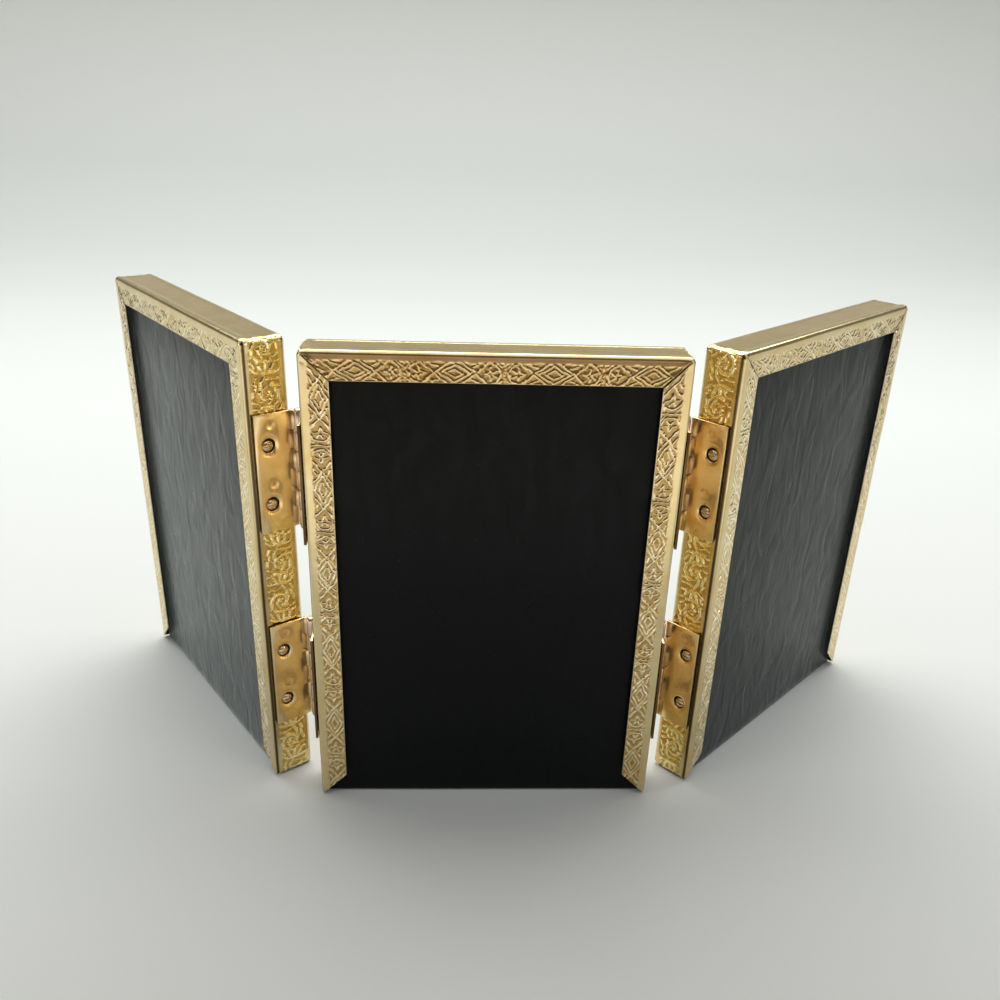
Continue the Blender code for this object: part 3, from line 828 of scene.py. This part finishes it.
def backing_board(name, place, seed):
    """A thin board with a slightly wavy back face and rounded edges."""
    bm = bmesh.new()
    wide, high = BOARD_SIZE
    stand = Matrix.Translation((0, BACK_Y + BOARD_FRONT, BOARD_GAP + high / 2)) @ Matrix.Rotation(
        math.pi / 2, 4, "X"
    )
    bmesh.ops.create_grid(bm, x_segments=40, y_segments=56, size=0.5)
    bmesh.ops.scale(bm, verts=bm.verts, vec=(wide, high, 1))
    for v in bm.verts:
        v.co.z = float(waves(v.co.x / MM, v.co.y / MM, 60, seed, 5)) * BOARD_WAVE
    thicken(bm, (0, 0, -BOARD_THICKNESS))
    rims = [e for e in bm.edges if len(e.link_faces) == 2 and e.calc_face_angle() > 1.0]
    bmesh.ops.bevel(bm, geom=rims, offset=0.4 * MM, segments=3, profile=0.5, affect="EDGES")
    for face in bm.faces:
        face.smooth = True
    mesh = to_mesh(name, bm)
    mesh.transform(place @ stand)
    return shown(name, mesh)


boards = []
for number, (panel, (body, place)) in enumerate(PANELS.items()):
    board = backing_board(f"{panel}_leatherette_board", place, 500 + number)
    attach(board, body)
    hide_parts(f"{panel}_backing_board")
    boards.append(board)
print("boards:", {o.name: len(o.data.polygons) for o in boards})

# %% [markdown]
# The hinges are small brass butt hinges. A leaf is a plate with softened edges, with two dished seats and
# three knuckles that are rolled round the pin. Plate and knuckles are simple shapes; the seats and the pin's
# bore are cut out of them with shapes turned on an axis. The same leaf serves everywhere: mirrored, it is
# the leaf that lies on the other wall, with the knuckles in between.

# %% Sizes of a hinge and the cutting tools
KNUCKLES = 6
KNUCKLE_GAP = 0.3 * MM
BARREL = 1.15 * MM
BORE = 0.75 * MM
PIN_OUT = 2.6 * MM
PIN_AHEAD = 1.0 * MM
OFF_WALL = 0.4 * MM
LEAF_THICKNESS = 0.7 * MM
LEAF_OUTER = -PIN_OUT + OFF_WALL
LEAF_INNER = LEAF_OUTER + LEAF_THICKNESS
LEAF_BACK = LEAF_FROM_BACK - RIM_DEPTH - PIN_AHEAD
LEAF_FRONT = -0.5 * MM
SCREW_Y = 5.2 * MM - RIM_DEPTH - PIN_AHEAD
SCREW_HEIGHTS = {"a": 7.6 * MM, "b": -8.4 * MM}


def turned(profile, steps):
    """A shape turned about Z from a profile of (radius, height)."""
    bm = bmesh.new()
    verts = [bm.verts.new((radius, 0, height)) for radius, height in profile]
    edges = [bm.edges.new(pair) for pair in zip(verts, verts[1:])]
    bmesh.ops.spin(bm, geom=verts + edges, cent=(0, 0, 0), axis=(0, 0, 1), angle=math.tau, steps=steps)
    bmesh.ops.remove_doubles(bm, verts=bm.verts, dist=1e-7)
    return bm


def slab(low, high, round_by=0.0):
    """A box between two corners, its edges rounded."""
    bm = bmesh.new()
    size = Vector(high) - Vector(low)
    bmesh.ops.create_cube(bm, size=1)
    bmesh.ops.scale(bm, verts=bm.verts, vec=size)
    bmesh.ops.translate(bm, verts=bm.verts, vec=(Vector(low) + Vector(high)) / 2)
    if round_by:
        bmesh.ops.bevel(bm, geom=bm.edges[:], offset=round_by, segments=3, profile=0.5, affect="EDGES")
    return bm


def merged(*shapes):
    """Several shapes as one."""
    whole = bmesh.new()
    for shape in shapes:
        mesh = to_mesh("joining", shape)
        whole.from_mesh(mesh)
        bpy.data.meshes.remove(mesh)
    return whole


def cut(shape, tool):
    """What is left of a closed shape when another is taken out of it."""
    things = []
    for bm in (shape, tool):
        bmesh.ops.recalc_face_normals(bm, faces=bm.faces)
        things.append(shown("cutting", to_mesh("cutting", bm)))
    step = things[0].modifiers.new("cut", "BOOLEAN")
    step.solver = "EXACT"
    step.object = things[1]
    left = bmesh.new()
    left.from_object(things[0], bpy.context.evaluated_depsgraph_get())
    for thing in things:
        bpy.data.meshes.remove(thing.data)
    return left


def placed(bm, matrix):
    """The same shape, moved by a matrix."""
    bmesh.ops.transform(bm, matrix=matrix, verts=bm.verts)
    if matrix.determinant() < 0:
        bmesh.ops.reverse_faces(bm, faces=bm.faces)
    return bm


print("hinge:", HINGE_LENGTH / MM, "mm long, knuckle pitch", round(HINGE_LENGTH / KNUCKLES / MM, 2))

# %% [markdown]
# The seat's profile falls from the leaf's face in a soft dish to a round hole, and a tool has left a small
# dent above each one. The screw head in the hole is slightly domed. Its slot is level, and it sits a little
# below the hole's middle, as the frame's weight has pulled the leaves. The knuckle's section starts as the
# leaf, bends out as a short web and runs round the pin. Profiles are (radius, height) in millimetres.

# %% Leaf, screw and pin
SEAT = [(0, -1.4), (1.74, -1.4), (1.74, -0.34), (1.78, -0.27), (1.86, -0.22), (2.3, -0.1), (2.5, -0.05)]
SEAT += [(2.7, -0.015), (2.95, 0.01), (2.95, 0.5), (0, 0.5)]
DENT = [(0, -0.16), (0.35, -0.15), (0.7, -0.11), (1.0, -0.055), (1.2, -0.02), (1.4, 0.005), (1.4, 0.5)]
DENT += [(0, 0.5)]
DENT_OFF = (0.7 * MM, 5.4 * MM)
HEAD = [(0, -1.1), (0.6, -1.1), (0.8, -0.9), (0.8, 0.3), (1.3, 0.3), (1.42, 0.36), (1.44, 0.46)]
HEAD += [(1.34, 0.64), (1.1, 0.8), (0.75, 0.93), (0.38, 1.0), (0, 1.02)]
HEAD_OFF = (-0.18 * MM, -0.24 * MM)
PIN = [(0.65, 16.1), (0.85, 16.1), (0.95, 16.17), (0.95, 16.3), (0.87, 16.42), (0.65, 16.52), (0.3, 16.58)]
PIN += [(0, 16.6)]
WEB_INNER = -1.3 * MM
WEB_OUTER = -1.6 * MM
WEB_BACK = -2.6 * MM
ROLL_FROM = 165
ROLL_TO = -150


def in_mm(profile):
    """A profile drawn in millimetres, in metres."""
    return [(radius * MM, height * MM) for radius, height in profile]


def seat_place(height, from_wall):
    """Turns a shape's Z to point away from a wall on the -X side."""
    spot = (-PIN_OUT + from_wall, SCREW_Y, height)
    return Matrix.Translation(spot) @ Matrix.Rotation(math.pi / 2, 4, "Y")


def knuckle(top, bottom):
    """One knuckle with the web that joins it to the leaf, its ends softened."""
    bm = bmesh.new()
    corners = [(LEAF_INNER, WEB_INNER), (LEAF_INNER, WEB_BACK), (LEAF_OUTER, WEB_BACK)]
    corners += [(LEAF_OUTER, WEB_OUTER)] + arc((0, 0), BARREL, ROLL_FROM, ROLL_TO, 30)
    bm.faces.new([bm.verts.new((x, y, bottom)) for x, y in corners])
    thicken(bm, (0, 0, top - bottom))
    ends = [e for e in bm.edges if abs(e.verts[0].co.z - e.verts[1].co.z) < 1e-7]
    bmesh.ops.bevel(bm, geom=ends, offset=0.1 * MM, segments=2, profile=0.5, affect="EDGES")
    return bm


def leaf(side):
    """A leaf on the wall at side -1 or +1 of the pin. The one at -1 has the first knuckle."""
    end = HINGE_LENGTH / 2
    plate = slab((LEAF_OUTER, LEAF_BACK, -end), (LEAF_INNER, LEAF_FRONT, end), 0.12 * MM)
    oval = Matrix.Diagonal((1.12, 1, 1, 1))
    shift = Matrix.Translation((0, *DENT_OFF))
    places = [seat_place(height, LEAF_INNER + PIN_OUT) for height in SCREW_HEIGHTS.values()]
    seats = [placed(turned(in_mm(SEAT), 56), at @ oval) for at in places]
    dents = [placed(turned(in_mm(DENT), 40), shift @ at) for at in places]
    plate = cut(plate, merged(*seats, *dents))
    pitch = HINGE_LENGTH / KNUCKLES
    tops = [end - i * pitch for i in range(0 if side < 0 else 1, KNUCKLES, 2)]
    rolls = merged(*[knuckle(top - KNUCKLE_GAP / 2, top - pitch + KNUCKLE_GAP / 2) for top in tops])
    bore = turned([(0, -HINGE_LENGTH), (BORE, -HINGE_LENGTH), (BORE, HINGE_LENGTH), (0, HINGE_LENGTH)], 32)
    whole = merged(plate, cut(rolls, bore))
    roll = whole.verts.layers.float.new("roll")
    edge = whole.verts.layers.float.new("edge")
    for v in whole.verts:
        # painted reflection: marks the knuckles, which are painted a pale pinkish grey
        v[roll] = float(math.hypot(v.co.x, v.co.y) < BARREL + 0.2 * MM)
        # painted shade: marks the plate's back edge, which is painted dark brown
        v[edge] = float(v.co.y < LEAF_BACK + 0.06 * MM)
    return placed(whole, Matrix.Diagonal((-side, 1, 1, 1)))


def screw(side):
    """A screw with a level slot, for a wall at side -1 or +1 of the pin."""
    slot = slab((-0.2 * MM, -2 * MM, 0.6 * MM), (0.2 * MM, 2 * MM, 2 * MM))
    off = Matrix.Translation((0, *HEAD_OFF))
    turn = Matrix.Diagonal((-side, 1, 1, 1)) @ off @ seat_place(0, 0)
    return placed(cut(turned(in_mm(HEAD), 40), slot), turn)


def pin():
    """The hinge's pin with a peened head at each end."""
    down = [(radius, -height) for radius, height in reversed(PIN)]
    return turned(in_mm(down + PIN), 28)


def finished(bm, name, place):
    """Turns a shape into an object: smooth, with its true edges left sharp, at its place in the frame."""
    bmesh.ops.remove_doubles(bm, verts=bm.verts, dist=1e-7)
    mesh = bpy.data.meshes.new(name)
    bm.to_mesh(mesh)
    mesh.shade_smooth()
    mesh.set_sharp_from_angle(angle=math.radians(32))
    mesh.transform(place)
    return shown(name, mesh)


leaf_shapes = {side: leaf(side) for side in (-1, 1)}
screw_shapes = {side: screw(side) for side in (-1, 1)}
pin_shape = pin()
print("faces of a leaf and a screw:", len(leaf_shapes[-1].faces), len(screw_shapes[-1].faces))

# %% [markdown]
# There are two hinges to a joint. The left joint has the side panel's leaf on the -X side of its pin, and
# the right joint has the centre panel's there. The pin goes with the centre panel.

# %% Put the hinges on
hinge_pieces = []
fastener_pieces = []
for label, side in (("left", -1), ("right", 1)):
    joint = joints[f"{label}_wing_fold"]
    swing = Matrix.Rotation(-math.radians(joint["range_deg"][0]) * joint["axis"][2], 4, "Z")
    for level, height in HINGE_HEIGHTS.items():
        hinge = f"{label}_{level}"
        spot = Matrix.Translation((joint["pos_m"][0], joint["pos_m"][1], height))
        for part, wall, body, place in (
            ("centre", -side, "centre", spot),
            ("wing", side, f"{label}_wing", spot @ swing),
        ):
            plate = finished(leaf_shapes[wall], f"{hinge}_{part}_brass_leaf", place)
            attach(plate, body)
            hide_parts(f"{hinge}_{part}_leaf")
            hinge_pieces.append(plate)
            for end, up in SCREW_HEIGHTS.items():
                at = place @ Matrix.Translation((0, 0, up))
                head = finished(screw_shapes[wall], f"{hinge}_{part}_slotted_screw_{end}", at)
                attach(head, body)
                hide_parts(f"{hinge}_{part}_screw_{end}")
                fastener_pieces.append(head)
        rod = finished(pin_shape, f"{hinge}_peened_pin", spot)
        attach(rod, "centre")
        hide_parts(f"{hinge}_pin")
        fastener_pieces.append(rod)
for shape in (*leaf_shapes.values(), *screw_shapes.values(), pin_shape):
    shape.free()
print("leaves:", len(hinge_pieces), "screws and pins:", len(fastener_pieces))

# %% [markdown]
# The hinge leaves are polished brass under an old clear lacquer: a warm yellow with blurred reflections,
# faint clouds of tarnish, fine hairlines from wiping and a face that is not quite flat. The rolled knuckles
# are painted a pale pinkish grey, a painted reflection of the sky, and the cut back edge is painted dark
# brown, a painted shade line where the leaf stands off the wall. The screws and pins are plated steel, paler
# and rougher, with the plating worn through in patches.

# %% Brass and plated steel
polished_brass, tree, shader, place = finish_of("polished_lacquered_brass")
cloud = add(tree, "TexNoise", Vector=place, Scale=220.0, Detail=5.0, Roughness=0.65)
tarnish = add(
    tree, "ValToRGB", {"stops": [(0.3, "#E6C690"), (0.55, "#F0D6A2"), (0.8, "#F4DEB0")]}, Fac=cloud
)
roll, edge = [add(tree, "Attribute", {"attribute_name": name}) for name in ("roll", "edge")]
# painted reflection: the knuckles are painted a pale pinkish grey, standing in for the sky they reflect
knuckles_painted_pale = add(tree, "Mix", {"data_type": "RGBA"}, i0=roll, i6=tarnish, i7=linear("#D3C2B8"))
# painted shade: a dark brown line on the plate's back edge, where it stands off the wall
edge_painted_dark = add(tree, "Mix", {"data_type": "RGBA"}, i0=edge, i6=knuckles_painted_pale, i7=linear("#6B5330"))
haze = add(tree, "MapRange", Value=cloud, From_Min=0.3, To_Min=0.27, To_Max=0.16)
stretched = add(tree, "Mapping", Vector=place, Scale=(1.0, 1.0, 0.04))
hairline = add(tree, "TexNoise", Vector=stretched, Scale=7000.0, Detail=2.0)
dents = add(tree, "TexNoise", Vector=place, Scale=190.0, Detail=1.0)
rolled = add(tree, "Bump", Strength=0.5, Distance=0.00006, Height=dents)
wiped = add(tree, "Bump", Strength=0.08, Distance=0.00002, Height=hairline, Normal=rolled)
plug(tree, shader, Metallic=1.0, Base_Color=edge_painted_dark, Roughness=haze, Normal=wiped)
for plate in hinge_pieces:
    plate.data.materials.append(polished_brass)

plated_steel, tree, shader, place = finish_of("worn_brass_plated_steel")
patch = add(tree, "TexNoise", Vector=place, Scale=900.0, Detail=4.0, Roughness=0.7)
plating = add(
    tree, "ValToRGB", {"stops": [(0.35, "#D2BC98"), (0.6, "#DDD0B8"), (0.75, "#D8D3CA")]}, Fac=patch
)
wear = add(tree, "MapRange", Value=patch, From_Min=0.3, To_Min=0.2, To_Max=0.38)
pits = add(tree, "Bump", Strength=0.3, Distance=0.00005, Height=patch)
plug(tree, shader, Metallic=1.0, Base_Color=plating, Roughness=wear, Normal=pits)
for part in fastener_pieces:
    part.data.materials.append(plated_steel)
print("hinge finishes:", polished_brass.name, plated_steel.name)

# %% [markdown]
# Leatherette is black vinyl on a cloth, with a pressed grain of fine pebbles 0.4 mm wide. Its film of dust
# is all but unseen from straight behind and turns it grey at a slant, as on the two side panels. The
# shader's sheen does that. Shallow crinkles, some 5 mm wide and longer than wide, show where it has come
# loose from the board.

# %% Black leatherette
leatherette, tree, shader, place = finish_of("black_leatherette")
pebbles = add(tree, "TexVoronoi", Vector=place, Scale=2300.0)
upright = add(tree, "Mapping", Vector=place, Scale=(1.0, 1.0, 0.4))
crinkles = add(tree, "TexNoise", Vector=upright, Scale=210.0, Detail=1.5, Distortion=0.8)
specks = add(tree, "TexNoise", Vector=place, Scale=1500.0, Detail=1.0)
dusty = add(tree, "ValToRGB", {"stops": [(0.0, "#020405"), (0.74, "#020405"), (0.8, "#2A2B2A")]}, Fac=specks)
gloss = add(tree, "MapRange", Value=crinkles, From_Min=0.3, From_Max=0.7, To_Min=0.26, To_Max=0.42)
grain = add(tree, "Bump", Strength=0.3, Distance=0.00006, Height=pebbles)
swell = add(tree, "Bump", Strength=0.2, Distance=0.001, Height=crinkles, Normal=grain)
plug(tree, shader, Specular_IOR_Level=0.12, Base_Color=dusty, Roughness=gloss, Normal=swell)
plug(tree, shader, Sheen_Weight=1.0, Sheen_Roughness=0.28, Sheen_Tint=linear("#EEF8F4"))
for board in boards:
    board.data.materials.append(leatherette)
print("board finish:", leatherette.name)

# %% [markdown]
# The pane, the print and the pad keep the CAD's shapes, which are plain slabs in the real frame too. The
# pane is clear soda glass with a faint green; the print is blank paper with a satin coat; the pad is
# grey-brown card with flecks of fibre.

# %% Pane, print and pad
def give(material, ending):
    """Puts a finish on the CAD nodes whose names have this ending."""
    for panel in PANELS:
        mesh = frame["nodes"][f"{panel}_{ending}"].data
        if mesh.materials:
            mesh.materials[0] = material
        else:
            mesh.materials.append(material)


pane, tree, shader, place = finish_of("clear_soda_glass")
ripple = add(tree, "TexNoise", Vector=place, Scale=30.0, Detail=1.0)
drawn = add(tree, "Bump", Strength=0.05, Distance=0.0005, Height=ripple)
plug(tree, shader, Base_Color=linear("#FAFDFB"), Roughness=0.01, Normal=drawn)
plug(tree, shader, Transmission_Weight=1.0, IOR=1.52)
give(pane, "glass")

photo_paper, tree, shader, place = finish_of("blank_photo_paper")
cloud = add(tree, "TexNoise", Vector=place, Scale=45.0, Detail=3.0)
aged = add(tree, "ValToRGB", {"stops": [(0.3, "#DAD4C6"), (0.7, "#E6E2D8")]}, Fac=cloud)
fibre = add(tree, "TexNoise", Vector=place, Scale=4000.0, Detail=2.0)
tooth = add(tree, "Bump", Strength=0.1, Distance=0.00003, Height=fibre)
plug(tree, shader, Roughness=0.45, Base_Color=aged, Normal=tooth)
give(photo_paper, "print")

card, tree, shader, place = finish_of("grey_brown_card")
layered = add(tree, "Mapping", Vector=place, Scale=(1.0, 1.0, 0.15))
pulp = add(tree, "TexNoise", Vector=layered, Scale=1800.0, Detail=5.0)
flecked = add(tree, "ValToRGB", {"stops": [(0.35, "#6F675A"), (0.6, "#8F8676"), (0.7, "#A59B88")]}, Fac=pulp)
rough = add(tree, "Bump", Strength=0.4, Distance=0.00008, Height=pulp)
plug(tree, shader, Roughness=0.95, Base_Color=flecked, Normal=rough)
give(card, "pad")
print("inner finishes:", pane.name, photo_paper.name, card.name)
